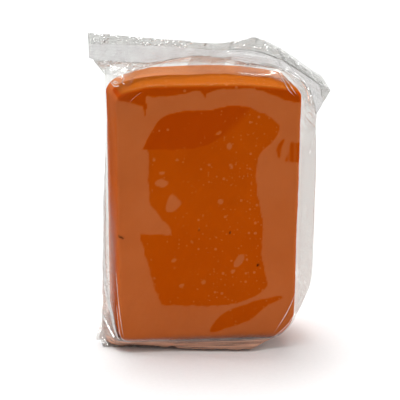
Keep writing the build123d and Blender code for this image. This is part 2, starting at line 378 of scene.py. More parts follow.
def clay_attributes(points, flat_topped):
    """The clay's contact, grit and top attributes. flat_topped is its points before the top is crowned."""
    front = points[:, 1] < -CLAY_HALF_DEPTH + RIM_RADIUS * 0.5
    back = points[:, 1] > CLAY_HALF_DEPTH - RIM_RADIUS * 0.5
    top = flat_topped[:, 2] > CLAY_TOP - RIM_RADIUS
    contact = 0.25 + 0.2 * waves(points, 14.0, 5)  # on the sides the film touches here and there
    flat = points[:, [0, 2]]
    contact[front] = front_contact(flat[front])
    contact[back] = back_contact(flat[back])
    # On top the film clings to the front half, and stands off behind a wavering line
    lifts = lift_line(points[:, 0]) + 0.5 * waves(points, 9.0, 2)
    clings = 1 - ramp(points[:, 1], lifts - 0.25, lifts + 0.25)
    contact = np.where(top & ~front, clings, contact)
    grit = np.zeros(len(points))
    for x, z, radius in GRIT:
        spot = np.linalg.norm(turned(flat) - (x, z), axis=1)
        grit = np.maximum(grit, np.where(front, 1 - ramp(spot, radius * 0.7, radius * 1.3), 0))
    # The top attribute switches the clay to its top colours, which hold painted shade
    return {"contact": contact, "grit": grit, "top": ramp(flat_topped[:, 2], CLAY_TOP - 0.6, CLAY_TOP - 0.2)}


def make_clay(material):
    """The clay block, with hand-pressed unevenness, which is always inwards. Its mesh carries the pattern."""
    lattice, faces = clay_lattice(LATTICE)
    flat_topped = rounded_clay(lattice)
    points = flat_topped.copy()
    points[:, 2] -= crown_drop(flat_topped)
    attributes = clay_attributes(points, flat_topped)
    middle = np.array([0, 0, CLAY_MIDDLE])
    half = np.array([CLAY_TOP_HALF_WIDTH, CLAY_HALF_DEPTH, CLAY_HALF_HEIGHT])
    outwards = ((points - middle) / half) ** 5
    outwards /= np.linalg.norm(outwards, axis=1)[:, None] + 1e-6
    press = 0.14 + 0.09 * waves(points, 30.0, 1) + 0.05 * waves(points, 7.0, 4)
    across, up = (points[:, 0] - NICK_X) / 0.9, (points[:, 2] - NICK_Z) / 1.6
    nick = np.exp(-(across**2 + up**2)) * (points[:, 1] < -12)
    points = points - outwards * (press + 0.25 * nick)[:, None]
    return mesh_piece("clay_bar", points, faces, material, attributes=attributes)


# ---------------------------------------------------------------- the film's shapes

HALF = COLUMNS // 2
# 0 at the left fold, 1 at the right, and back again
COLUMN_SHARE = np.concatenate([np.arange(HALF) / HALF, 1 - np.arange(HALF) / HALF])
IS_FRONT = np.arange(COLUMNS) <= HALF
ROW_LENGTH = np.linspace(0, TUBE_LENGTH, ROWS)  # from the bottom seal up

# The tube's two side folds, as (film length, x, y, z)
LEFT_FOLD = (
    (0, -29.0, -2.5, 0.5), (13, -29.4, -3.3, 0.5), (16, -28.4, -1.5, 3.2), (20, -28.0, 0, 7.5),
    (36, -27.7, 0, 23.6), (62, -27.4, 0, 49), (86.5, -27.2, 0, 74), (90.5, -27.2, 0, 78),
)
RIGHT_FOLD = (
    (0, 13, -3.5, 0.5), (13, 13.5, -13.66, 0.5), (15.5, 19, -13.66, 2.5), (18.5, 24.6, -13.6, 5.7),
    (22, 28, -9, 9.8), (28, 33.5, -1, 15.2), (34, 33.9, 0, 21), (65, 33.9, 0, 52.3),
    (70, 33.7, 0, 57.5), (75.5, 33.2, 0, 63), (78.4, 32.6, 0, 65.9), (90.5, 31, 0, 78),
)
# How far right the front and back faces reach at a height, over the clay's worn corner
RIGHT_REACH = ((0.5, 13.1), (3, 18.5), (5.7, 24.2), (9, 26.4), (14, 30))
# Where the film's front meets the floor, as (x, y)
FRONT_FOOT = ((-27, -9.4), (-19.4, -9.8), (-6.5, -14.2), (1.5, -15.7), (13.1, -17.1))
# The seal's lower edge, the top of its crimped band and its cut edge, from the left end to the hanging one
SEAL_LOW = (
    (-32.2, 0.5, 83.3), (-26.8, -0.3, 82.5), (-16.9, -0.9, 81.9), (-10, -0.6, 82.6), (-4, 0, 83.4),
    (4, 0.6, 82.9), (12, 0.8, 81.2), (20.4, 0.4, 79.6), (26.5, -0.2, 77), (30.5, 0, 73),
    (32.3, 0.2, 69.3), (33, 0.3, 65.8),
)
SEAL_MIDDLE = (
    (-32.3, 0.7, 87.3), (-22.1, -0.1, 87.1), (-16.9, -0.7, 86.9), (-9.9, -0.4, 86.5), (-2.8, 0.2, 85.7),
    (4.5, 1, 84.9), (12, 1.5, 84.7), (18.5, 1.9, 83.3), (25.5, 2.1, 79.8), (31, 1.8, 76.4), (34, 1.4, 73.4),
    (35.3, 0.9, 69.2),
)
SEAL_EDGE = (
    (-32.4, 0.9, 90.3), (-23.9, 0.2, 89.6), (-14.5, -0.3, 88.8), (-5.5, 0.2, 87.9), (-1.5, 0.7, 87.2),
    (4.4, 1.5, 86.7), (8.9, 2, 87.1), (12.3, 2.4, 87.4), (15.4, 2.8, 87.8), (22.6, 3.4, 84.4),
    (30.5, 3.4, 79.0), (34.6, 2.8, 76.2), (37.2, 1.4, 72.5),
)


def look_up(value, table):
    """Columns of a table, read by its first column with straight lines between rows."""
    table = np.array(table, float)
    return np.stack([np.interp(value, table[:, 0], table[:, k]) for k in range(1, table.shape[1])], axis=-1)


def along_line(corners, count):
    """count points at even spacing along straight lines between corners."""
    corners = np.array(corners, float)
    run = np.concatenate([[0], np.cumsum(np.linalg.norm(np.diff(corners, axis=0), axis=1))])
    at = np.linspace(0, run[-1], count)
    return np.stack([np.interp(at, run, corners[:, axis]) for axis in range(3)], axis=1)


def tube_loop(length):
    """One loop of the tube round the clay, at a film length between the bar's bottom and top edges."""
    z = length - UNDER_LENGTH + FOOT_HEIGHT
    middle, half_width = clay_sides(z)
    depth = CLAY_HALF_DEPTH + FILM_GAP
    near = middle - half_width - FILM_GAP
    far = min(middle + half_width + FILM_GAP, float(look_up(z, RIGHT_REACH)[0]))
    left, right = look_up(length, LEFT_FOLD), look_up(length, RIGHT_FOLD)
    front = along_line([left, (near, -depth, z), (far, -depth, z), right], HALF + 1)
    back = along_line([right, (far, depth, z), (near, depth, z), left], HALF + 1)
    loop = np.concatenate([front, back[1:-1]])
    # Below the clay the front slopes to its own line on the floor
    below = 1 - np.clip((z - FOOT_HEIGHT) / (clay_low[2] - FOOT_HEIGHT), 0, 1)
    slope = (look_up(loop[:, 0], FRONT_FOOT)[:, 0] + depth) * below
    loop[:, 1] += slope * np.clip(-loop[:, 1] / depth, 0, 1)
    loop[:, 2] -= crown_drop(loop) * (1 - ramp(clay_distance(loop), 0.4, 2.5))
    return loop


def film_design():
    """The tube as laid out, (rows, columns, 3), before it settles."""
    grid = np.zeros((ROWS, COLUMNS, 3))
    layer = np.where(IS_FRONT, -0.05, 0.05)[:, None] * (0, 1, 0)
    seal_left, seal_right = np.array(LEFT_FOLD[0][1:]), np.array(RIGHT_FOLD[0][1:])
    bottom = seal_left + COLUMN_SHARE[:, None] * (seal_right - seal_left) + layer
    seal = spline(SEAL_LOW, HALF + 1)
    top = np.concatenate([seal, seal[::-1][1:-1]]) + layer
    # Towards the right the tube ends lower, where its seal hangs over the shoulder
    reached = RIM_LENGTH - SHOULDER_DROP * np.clip((COLUMN_SHARE - 0.77) / 0.23, 0, 1) ** 1.1
    lengths = np.linspace(UNDER_LENGTH, RIM_LENGTH, 2 * ROWS)
    loops = np.array([tube_loop(length) for length in lengths])
    columns = np.arange(COLUMNS)

    def on_loops(length):
        at = np.clip((length - UNDER_LENGTH) / (RIM_LENGTH - UNDER_LENGTH), 0, 1) * (len(lengths) - 1)
        below = np.minimum(at.astype(int), len(lengths) - 2)
        part = (at - below)[:, None]
        return loops[below, columns] * (1 - part) + loops[below + 1, columns] * part

    first, last = on_loops(np.full(COLUMNS, UNDER_LENGTH)), on_loops(reached)
    # The front clings to the top of the clay before it rises to the seal; its ends flare straight out
    on_top = np.full(COLUMNS, CLAY_TOP + FILM_GAP)
    stuck = np.stack([last[:, 0] * 0.99, lift_line(last[:, 0]), on_top], axis=1)
    stuck[:, 2] -= crown_drop(stuck)
    clings = window(COLUMN_SHARE, 0.17, 0.27, 0.68, 0.79) * IS_FRONT
    for row, length in enumerate(ROW_LENGTH):
        if length < UNDER_LENGTH:
            grid[row] = bottom + (first - bottom) * length / UNDER_LENGTH
        elif length <= RIM_LENGTH:
            squeeze = np.clip((length - LOWEST_SQUEEZED) / (RIM_LENGTH - LOWEST_SQUEEZED), 0, 1)
            grid[row] = on_loops(length - squeeze * (RIM_LENGTH - reached))
        else:
            share = (length - RIM_LENGTH) / (TUBE_LENGTH - RIM_LENGTH)
            over = np.clip((length - RIM_LENGTH) / (STUCK_LENGTH - RIM_LENGTH), 0, 1)
            rise = np.clip((length - STUCK_LENGTH) / (TUBE_LENGTH - STUCK_LENGTH), 0, 1)
            straight = last + (top - last) * share
            via = last + (stuck - last) * over + (top - stuck) * rise
            grid[row] = straight + (via - straight) * clings[:, None]
    return grid


def relax(grid, amount, times):
    """Laplacian smoothing that leaves the first and last rows."""
    for _ in range(times):
        middle = grid[1:-1]
        around = (grid[:-2] + grid[2:] + np.roll(middle, 1, axis=1) + np.roll(middle, -1, axis=1)) / 4
        grid[1:-1] = middle + (around - middle) * amount
    return grid


def clear_of_clay(grid, gap):
    """Pushes points out of the clay to a gap, and up off the floor."""
    flat = grid.reshape(-1, 3)
    distance = clay_distance(flat)
    near = np.flatnonzero(distance < gap)
    steps = 0.02 * np.eye(3)
    slope = [clay_distance(flat[near] + step) - clay_distance(flat[near] - step) for step in steps]
    slope = np.stack(slope, axis=1)
    slope /= np.linalg.norm(slope, axis=1)[:, None] + 1e-9
    flat[near] += slope * (gap - distance[near])[:, None]
    flat[:, 2] = np.maximum(flat[:, 2], LEAST_SETTLING_HEIGHT)
    return flat.reshape(grid.shape)


def pull(grid, rest, shift, strength):
    """Moves the points of each link towards its rest length; a link's ends are shift = (rows, columns) apart.

    Straight links move in two passes, so that no point is in two at once; slanting ones go half way twice.
    """
    rows, columns = shift
    for parity in (0, 1):
        here = grid[: ROWS - rows] if rows else grid
        there = np.roll(grid, -columns, axis=1)[rows:]
        apart = there - here
        length = np.linalg.norm(apart, axis=2) + 1e-9
        move = apart * ((length - rest) / length * 0.5 * strength)[:, :, None]
        if rows and columns:
            move *= 0.5
        else:
            index = np.add.outer(np.arange(len(move)) * (rows > 0), np.arange(COLUMNS))
            move[index % 2 != parity] = 0
        grid[: ROWS - rows] += move
        grid[rows:] -= np.roll(move, columns, axis=1)


def settle(grid, excess, steps):
    """The small cloth solver. excess is how much longer than laid out the film is, round it and along it."""
    first, last = grid[0].copy(), grid[-1].copy()
    shifts = ((0, 1), (1, 0), (1, 1), (1, -1))
    rests = []
    for rows, columns in shifts:
        apart = np.roll(grid, -columns, axis=1)[rows:] - grid[: ROWS - rows]
        round_share = columns * columns / max(rows + columns * columns, 1)
        stretch = 1 + excess[: ROWS - rows] @ np.array([round_share, 1 - round_share])
        rests.append(np.linalg.norm(apart, axis=2) * stretch)
    start = grid.copy()
    bumps = waves(grid.reshape(-1, 3), 9.0, 12).reshape(grid.shape[:2])
    grid = grid + grid_normals(grid) * bumps[:, :, None] * 0.12
    for _ in range(steps):
        for shift, rest in zip(shifts, rests):
            pull(grid, rest, shift, LINK_STRENGTH)
        grid[2:-2] += BENDING_STRENGTH * (smoother(grid) - grid)[2:-2]
        grid += MEMORY_STRENGTH * (start - grid)
        grid = clear_of_clay(grid, FILM_GAP)
        grid[0], grid[-1] = first, last
    return grid


def smoother(grid):
    """Each point's place if the film were bent evenly through it."""
    round_tube = (np.roll(grid, 1, axis=1) + np.roll(grid, -1, axis=1)) / 2
    round_wide = (np.roll(grid, 2, axis=1) + np.roll(grid, -2, axis=1)) / 2
    even = (4 * round_tube - round_wide) / 3
    padded = np.concatenate([grid[:1], grid[:1], grid, grid[-1:], grid[-1:]])
    along = (4 * (padded[1:-3] + padded[3:-1]) / 2 - (padded[:-4] + padded[4:]) / 2) / 3
    return (even + along) / 2


def grid_normals(grid):
    """Outward unit normals of a (rows, columns, 3) tube grid."""
    round_tube = np.roll(grid, -1, axis=1) - np.roll(grid, 1, axis=1)
    along = np.gradient(grid, axis=0)
    normal = np.cross(round_tube, along)
    return normal / (np.linalg.norm(normal, axis=2)[:, :, None] + 1e-9)


def doubled(rows, wraps):
    """The rows with one more between every two, by Catmull-Rom; if they wrap, the first follows the last."""
    if wraps:
        before, after, beyond = (np.roll(rows, shift, axis=0) for shift in (1, -1, -2))
        middle = (9 * (rows + after) - before - beyond) / 16
        return np.stack([rows, middle], axis=1).reshape(-1, *rows.shape[1:])
    padded = np.concatenate([2 * rows[:1] - rows[1:2], rows, 2 * rows[-1:] - rows[-2:-1]])
    middle = (9 * (padded[1:-2] + padded[2:-1]) - padded[:-3] - padded[3:]) / 16
    woven = np.stack([rows[:-1], middle], axis=1).reshape(-1, *rows.shape[1:])
    return np.concatenate([woven, rows[-1:]])


def make_film_grid():
    """The settled tube, with twice the solver's rows and columns."""
    grid = relax(film_design(), 0.5, 6)
    grid = clear_of_clay(grid, FILM_GAP)
    length = np.repeat(ROW_LENGTH[:, None], COLUMNS, axis=1)
    share = np.repeat(COLUMN_SHARE[None, :], ROWS, axis=0)
    near_seal = ramp(length, 84, 100)
    side = ramp(share, 0.8, 0.9) + 0.5 * (1 - ramp(share, 0.08, 0.15))
    excess = np.stack([0.03 * near_seal + 0.012 * side, 0.02 * near_seal + 0.014 * side], axis=2)
    grid = doubled(settle(grid, excess, SETTLING_STEPS), False)
    return np.swapaxes(doubled(np.swapaxes(grid, 0, 1), True), 0, 1)


def strip_distance(points, line):
    """Distance of (n, 2) points from a line of straight pieces."""
    nearest = np.full(len(points), 1e9)
    line = np.array(line, float)
    for a, b in zip(line, line[1:]):
        edge = b - a
        along = np.clip((points - a) @ edge / (edge @ edge), 0, 1)
        nearest = np.minimum(nearest, np.linalg.norm(points - a - along[:, None] * edge, axis=1))
    return nearest


def fold_heights(points, folds):
    """The height of each fold in turn, at (n, 3) points. A fold is (width, height, ((x, z), ...))."""
    for width, height, line in folds:
        distance = strip_distance(points[:, [0, 2]], line)
        yield height * np.exp(-((distance / width) ** 2))


# Folds in the slack film, seen from the front
FOLDS = (
    (1.0, 0.5, ((27.9, 77.1), (29.6, 74.9), (30.8, 72.4), (30.6, 70.5), (27.9, 69.0))),
    (1.0, -0.5, ((28.4, 67.3), (29.9, 65.5), (32.7, 62.5))),
    (1.1, 0.6, ((27.5, 71), (31.4, 67.9), (33.0, 65.4))),
    (1.0, 0.5, ((28.0, 63), (32.6, 61.8))),
    (1.0, 0.4, ((32.6, 61.8), (29.7, 56.4))),
    (0.9, 0.5, ((28.3, 21.5), (30.8, 15.5), (31.8, 13.6))),
    (0.8, -0.4, ((28.2, 17.5), (29.7, 13.8), (31.6, 13.4))),
    (0.8, 0.4, ((26.8, 9.5), (30.5, 13))),
    (0.9, 0.5, ((-27.4, 44), (-26.9, 30), (-27.4, 12))),
    (0.7, 0.5, ((-26.2, 40), (-26.4, 20), (-25.0, 4))),
    (0.8, 0.4, ((-28.8, 8), (-27.0, 4), (-26, 1))),
)


def film_relief(grid):
    """How far each film point moves outwards, and how far it is from the clay.

    It has folds and crumples where it is slack, and the contact pattern where it lies on the clay.
    """
    points = grid.reshape(-1, 3)
    stand_off = clay_distance(points)
    slack = ramp(stand_off, 0.6, 3.0)
    near_seal = ramp(points[:, 2], 76.5, 80)
    under = 1 - ramp(points[:, 2], 0.5, 3)
    crumple = crumpled(points, 7.0, 6) - 0.6 * np.abs(waves(points, 3.1, 8, 2))
    left_end, right_end = 1 - ramp(points[:, 0], -25, -14), ramp(points[:, 0], 10, 22)
    relief = crumple * (slack * (0.05 + near_seal * (0.24 * left_end + 0.10 * right_end)) + 0.12 * under)
    front = points[:, 1] < 6
    for height in fold_heights(points, FOLDS):
        relief += np.where(front, height * slack, 0)
    # The side folds themselves run straight
    columns = grid.shape[1]
    from_fold = np.abs((np.arange(columns) + columns / 4) % (columns / 2) - columns / 4)
    relief *= np.tile(0.15 + 0.85 * ramp(from_fold, 1, 8), len(grid))
    on_front = points[:, 1] < -CLAY_HALF_DEPTH
    air = 0.22 + 0.1 * waves(points, 11.0, 7)
    contact = np.where(on_front, front_contact(points[:, [0, 2]]), back_contact(points[:, [0, 2]]))
    lies = (np.abs(points[:, 1]) > CLAY_HALF_DEPTH) & (stand_off < 1)
    relief += np.where(lies, (1 - np.clip(contact / WETTED, 0, 1)) * air, 0)
    return relief.reshape(grid.shape[:2]), stand_off.reshape(grid.shape[:2])


def sheet_normals(grid):
    """Unit normals of an open (rows, columns, 3) grid."""
    normal = np.cross(np.gradient(grid, axis=1), np.gradient(grid, axis=0))
    return normal / (np.linalg.norm(normal, axis=2)[:, :, None] + 1e-9)


def wall(name, outer, inner, material, attributes, closed=False):
    """A closed thin-walled mesh between two grids of points.

    closed says that the last column meets the first. An attribute is one number, or a (rows, columns) array.
    """
    rows, columns = outer.shape[:2]
    count = rows * columns
    faces = grid_faces(columns, rows, closed)
    faces += [tuple(i + count for i in reversed(face)) for face in faces]
    last = (rows - 1) * columns
    for a in range(columns if closed else columns - 1):
        b = (a + 1) % columns
        faces.append((b, a, a + count, b + count))
        faces.append((last + a, last + b, last + b + count, last + a + count))
    if not closed:
        for a in range(0, last, columns):
            b = a + columns
            faces.append((a, b, b + count, a + count))
            a, b = a + columns - 1, b + columns - 1
            faces.append((b, a, a + count, b + count))
    points = np.concatenate([outer.reshape(-1, 3), inner.reshape(-1, 3)])
    full = {key: np.broadcast_to(value, (rows, columns)) for key, value in attributes.items()}
    both_sides = {key: np.tile(values.ravel(), 2) for key, values in full.items()}
    return mesh_piece(name, points, faces, material, attributes=both_sides)


def sheet(name, middle, outwards, half_gauge, material, crinkle):
    """An open sheet of film as a closed thin wall, from the grid down its middle."""
    offset = outwards * half_gauge
    return wall(name, middle + offset, middle - offset, material, {"crinkle": crinkle})


def film_attributes(grid, stand_off):
    """How creased the film looks, from 0.1 where it is stuck down to 1, and how much painted light in the
    clay's colour it carries.
    """
    x, y, z = grid[:, :, 0], grid[:, :, 1], grid[:, :, 2]
    # Loose film looks greyer; over the clay's top it does so as soon as it lifts off
    slack = np.where(z > CLAY_TOP - 4, ramp(stand_off, 0.3, 0.9), ramp(stand_off, 0.4, 1.8))
    ends = 1 - ramp(x, -26, -16) + 0.6 * ramp(x, 12, 24)
    high = ramp(z, 78.5, 83) * (0.15 + 0.65 * ends)
    crinkle = STUCK_CRINKLE + slack * np.clip(0.22 + 0.05 * ramp(x, 24, 28) + 0.6 * high, 0, 0.9)
    # The top right edge catches the light
    glare = window(x, 9, 12, 19, 23) * window(y, -3, 1, 9, 13) * ramp(z, 74, 76)
    crinkle = np.maximum(crinkle, STUCK_CRINKLE + 0.5 * glare)
    # Round the clay's upper left corner the film is drawn tight and clear
    corner = (1 - ramp(x, -23, -20)) * window(z, 66, 72, 78.5, 80.5)
    crinkle = crinkle + (0.14 - crinkle) * corner
    under = 1 - ramp(z, 2, 6)
    crinkle = np.maximum(crinkle, 0.7 * under)
    # Painted light in the clay's colour on the film: painted reflection of the clay's underside under the
    # bar, a painted glare behind the top right edge, and painted lighter streaks low on the left side
    clay_light_under = (1 - ramp(z, 2.9, 3.9)) * ramp(x, -29, -26.5)
    clay_glare_right = 0.2 * window(x, 8, 11, 20, 23) * ramp(z, 78.7, 79.7) * (y < 6)
    light_streaks_left = 0.42 * (1 - ramp(z, 22, 50)) * (1 - ramp(x, -27, -25))
    return {"crinkle": crinkle, "painted_clay_light": np.maximum.reduce([clay_light_under, clay_glare_right, light_streaks_left])}


def make_film(material):
    """The film tube, and its grid for the pieces that lie on it."""
    grid = make_film_grid()
    relief, stand_off = film_relief(grid)
    grid = grid + grid_normals(grid) * relief[:, :, None]
    grid[:, :, 2] = np.maximum(grid[:, :, 2], LEAST_HEIGHT)
    offset = grid_normals(grid) * (FILM_THICKNESS / 2)
    attributes = film_attributes(grid, stand_off)
    return wall("wrapper_film", grid + offset, grid - offset, material, attributes, closed=True), grid


# ---------------------------------------------------------------- the seals and the seam

STRIP_COLUMNS = 241
BAND_ROWS = 34
BAND_HEIGHT = 4.1
SKIRT_ROWS = 13
RIB_PITCH = 0.75
RIB_HEIGHT = 0.08
BAND_GAUGE = 0.24
HANGING_SHARE = 0.745  # of the seal's length, where its hanging end starts
WELD_CRINKLE = 0.6


def seal_strip():
    """The top seal's band and skirt as open grids, in the plane of the seal."""
    low, middle, edge = (spline(line, STRIP_COLUMNS) for line in (SEAL_LOW, SEAL_MIDDLE, SEAL_EDGE))
    band = low + (middle - low) * np.linspace(0, 1, BAND_ROWS)[:, None, None]
    skirt = middle + (edge - middle) * np.linspace(0, 1, SKIRT_ROWS)[:, None, None]
    return band, skirt


# Folds across the strip
STRIP_FOLDS = (
    (0.8, 0.8, ((24.7, 78.8), (28.7, 76.0), (31.1, 74.3), (36.8, 72.8))),
    (0.8, -0.6, ((31.8, 73.6), (35.4, 69.0))),
    (0.9, 0.6, ((7.8, 83.4), (13.6, 82.9), (20.3, 81.5))),
    (0.7, -0.5, ((8.4, 85.4), (16.4, 84.2), (21.4, 82.6))),
    (0.7, 0.5, ((21.4, 84.4), (23.6, 80.2))),
    (0.8, 0.5, ((-28.6, 90.0), (-29.4, 83.2))),
    (0.6, -0.4, ((-26.2, 89.8), (-27.6, 82.8))),
)


def strip_bend(grid):
    """Gentle waves of the whole strip, its folds, and the step where the back seam's fin is caught in it."""
    points = grid.reshape(-1, 3)
    bend = 0.35 * waves(points, 26.0, 14)
    bend -= 0.35 * window(points[:, 0], 0.6, 1.4, 12.5, 13.5)
    for height in fold_heights(points, STRIP_FOLDS):
        bend += height
    return bend.reshape(grid.shape[:2])


def ribs(rows):
    """The crimped profile across the band, 0 at its edges."""
    across = np.linspace(0, 1, rows)
    profile = RIB_HEIGHT * np.sin(2 * math.pi * (BAND_HEIGHT * across) / RIB_PITCH)
    return profile * window(across, 0.02, 0.1, 0.9, 0.98)


def make_seal(film_material, weld_material):
    """The top seal: its ribbed band, the end that hangs over the shoulder, and the skirt's two loose layers.

    The second value is the front layer of the skirt as a grid.
    """
    band, skirt = seal_strip()
    split = int(STRIP_COLUMNS * HANGING_SHARE)
    towards = sheet_normals(band)
    band = band + towards * (strip_bend(band) + ribs(BAND_ROWS)[:, None])[:, :, None]
    pieces = []
    for name, part in (("top_seal", slice(None, split + 1)), ("hanging_end", slice(split, None))):
        piece = sheet(name, band[:, part], towards[:, part], BAND_GAUGE / 2, weld_material, WELD_CRINKLE)
        pieces.append(piece)
    towards = sheet_normals(skirt)
    free = np.linspace(0, 1, SKIRT_ROWS)[:, None]
    bend = strip_bend(skirt)
    layers = []
    for name, side, seed in (("top_skirt_front", 1, 31), ("top_skirt_back", -1, 47)):
        flat = skirt.reshape(-1, 3)
        crumple = crumpled(flat, 4.6, seed) - np.abs(waves(flat, 2.2, seed + 2, 2))
        spread = side * (0.16 + 0.4 * free) + 0.16 * crumple.reshape(bend.shape) * ramp(free, 0.05, 0.7)
        layer = skirt + towards * (bend + spread)[:, :, None]
        layers.append(layer)
        pieces.append(sheet(name, layer, sheet_normals(layer), FILM_THICKNESS / 2, film_material, 1))
    return pieces, layers[0]


SEAM_LEFT, SEAM_RIGHT = 1.0, 12.0
SEAM_LEAN = 3.6  # how far the fin has been pulled over to the left where the top seal catches it
SEAM_COLUMNS = 33
SEAM_RIBS = 8
SEAM_CRINKLE = 0.4


def make_back_seam(film_grid, material):
    """The fin of the back seam, folded flat to the right against the back of the tube."""
    normals = grid_normals(film_grid)
    columns = film_grid.shape[1]
    back = np.arange(columns // 2 + 1, columns)[::-1]
    across = np.linspace(0, 1, SEAM_COLUMNS)
    at, out = [], []
    for points, outwards in zip(film_grid[:, back], normals[:, back]):
        x = SEAM_LEFT + (SEAM_RIGHT - SEAM_LEFT) * across - SEAM_LEAN * ramp(points[:, 2].mean(), 45, 80)
        at.append(np.stack([np.interp(x, points[:, 0], points[:, axis]) for axis in range(3)], axis=1))
        out.append(np.stack([np.interp(x, points[:, 0], outwards[:, axis]) for axis in range(3)], axis=1))
    at, out = np.array(at), np.array(out)
    # The fin's free edge lifts unevenly off the film, and the fin is crimped like the seals
    sway = waves(at.reshape(-1, 3), 17.0, 5)
    lift = 0.22 + 0.5 * ramp(across, 0.35, 1) * (0.6 + 0.4 * sway).reshape(at.shape[:2])
    crimp = 0.06 * np.sin(2 * math.pi * across * SEAM_RIBS) * window(across, 0.02, 0.1, 0.9, 1)
    middle = at + out * (lift + crimp)[:, :, None]
    middle[:, :, 2] = np.maximum(middle[:, :, 2], 0.15)
    row_length = np.linspace(0, TUBE_LENGTH, len(film_grid))
    keep = (row_length > UNDER_LENGTH + 1) & (row_length < TUBE_LENGTH - 0.5)
    return sheet("back_seam", middle[keep], out[keep], 0.06, material, SEAM_CRINKLE)


BOTTOM_BACK, BOTTOM_DEPTH = -2.6, 6.4  # where the folded bottom seal starts, and how far forwards it reaches
BOTTOM_WELD_SHARE = 0.42  # of that depth, which is crimped; the rest is loose
# The ear is a folded triangle: its base runs up the bar's lower left corner, and its tip is free
EAR_BASE = ((-27.0, -8.6, 0.4), (-27.6, -5.5, 2.0), (-28.1, -1.5, 6.0))
EAR_TIP = (-30.0, -4.6, 1.2)
EAR_POINTS = 25  # along its base, and from its base to its tip
EAR_CRINKLE = 0.7


def make_bottom(film_material, weld_material):
    """The bottom seal, folded forwards under the bar, and the corner of film that sticks out at its left."""
    x = np.linspace(-28.6, 12.6, 173)
    run = np.linspace(0, 1, 41)
    grid = np.zeros((len(run), len(x), 3))
    grid[:, :, 0] = x
    grid[:, :, 1] = BOTTOM_BACK - BOTTOM_DEPTH * run[:, None]
    grid[:, :, 2] = 0.32
    welded = run < BOTTOM_WELD_SHARE
    profile = np.where(welded, 0.07 * np.sin(2 * math.pi * run * BOTTOM_DEPTH / RIB_PITCH), 0)[:, None]
    crumple = (0.16 * crumpled(grid.reshape(-1, 3), 6.0, 61)).reshape(grid.shape[:2])
    crumple = crumple * np.where(welded, 0.2, 1)[:, None]
    grid[:, :, 2] = np.maximum(grid[:, :, 2] + profile + crumple, LEAST_HEIGHT)
    seal = sheet("bottom_seal", grid, np.array((0, 0, -1)), 0.06, weld_material, WELD_CRINKLE)

    base = spline(EAR_BASE, EAR_POINTS)
    share = np.linspace(0, 1, EAR_POINTS)[:, None, None]
    spread = base + (EAR_TIP + (base - base.mean(axis=0)) * 0.12 - base) * share
    bend = 0.25 * crumpled(spread.reshape(-1, 3), 3.0, 71).reshape(spread.shape[:2])
    towards = sheet_normals(spread)
    spread = spread + towards * (bend * np.sin(share[:, :, 0] * math.pi))[:, :, None]
    ear = sheet("bottom_ear", spread, towards, 0.05, film_material, EAR_CRINKLE)
    return [seal, ear]


RIDGE_GAP = 0.03  # from the middle of the film to the base of a ridge
FRONT_VIEW, SIDE_VIEW = [0, 2], [1, 2]  # the axes that lines are drawn in
# Sharp creases seen from the front, as lines of (x, z)
CREASES = (
    ((24.0, 79.8), (27.9, 77.1), (29.6, 74.9), (30.8, 72.4), (30.6, 70.5)),
    ((31.0, 68.4), (32.6, 65.8), (33.0, 63.6)),
    ((32.6, 61.8), (29.7, 56.4)),
    ((28.4, 21.0), (30.6, 16.5), (31.7, 13.6)),
    ((29.0, 16.0), (29.7, 13.9), (31.4, 13.2)),
    ((33.2, 55), (33.5, 40), (33.3, 16)),
    ((27.0, 12.5), (32.0, 14.6)),
    ((20.1, 4.6), (23.3, 10.1), (26.3, 16.6)),
    ((20.3, 3.8), (23.7, 6.8), (26.2, 10.3)),
    ((22.0, 79.6), (22.6, 78.2), (23.6, 76.6), (24.5, 75.3)),
    ((22.1, 80.0), (21.7, 78.5), (22.3, 76.7), (24.0, 75.0)),
    ((-25.3, 24), (-24.9, 18), (-24.3, 12), (-23.9, 9), (-23.2, 4.6), (-22.6, 3.4)),
    ((-25.1, 14), (-24.6, 9), (-24, 5), (-22.6, 3.6), (-21, 3.2)),
)
# The same, with the clay's colour painted into their reflection
CLAY_MIRRORING_CREASES = (
    ((-22.4, 73.6), (-21.2, 75.1), (-19.6, 76.4), (-18.6, 76.9)),
    ((28.4, 67.3), (29.9, 65.5), (32.7, 62.5)),
    ((28.6, 68.8), (30.6, 67.4), (31.6, 65.4)),
    ((27.6, 76.6), (29.0, 74.6), (29.9, 72.2), (29.8, 70.4)),
    ((33.0, 60), (33.2, 48), (33.1, 30)),
    ((-21.7, 79.6), (-17.9, 80.4), (-12.3, 81.6), (-3.7, 82.9)),
)
# Sharp creases on the left side, as lines of (y, z)
SIDE_CREASES = (
    ((4, 48), (1, 34), (-3, 22), (-8, 12), (-12.5, 5)),
    ((0, 26), (-4, 16), (-9.5, 8), (-13, 4)),
    ((9, 9.5), (-1, 7), (-11, 4)),
    ((8, 52), (6, 32), (3.5, 12)),
)


LEFT_SIDE = -24  # the film further left than this is on the bar's left side
# The lower limit of the crumpled film above the clay's shoulders, as (x, z)
GATHER_LOW = ((-27, 77.5), (-20, 79.5), (-14, 81), (10, 80.5), (20, 79.8), (25, 79), (27, 76))
# Batches of glints: how many, their seed, and the x that they lie between
SKIRT_GLINTS = ((85, 5, -31, -3), (16, 6, 9, 20))
GATHER_GLINTS = ((70, 7, -29, -15), (40, 8, 9, 27))
GLINT_RINGS = 7


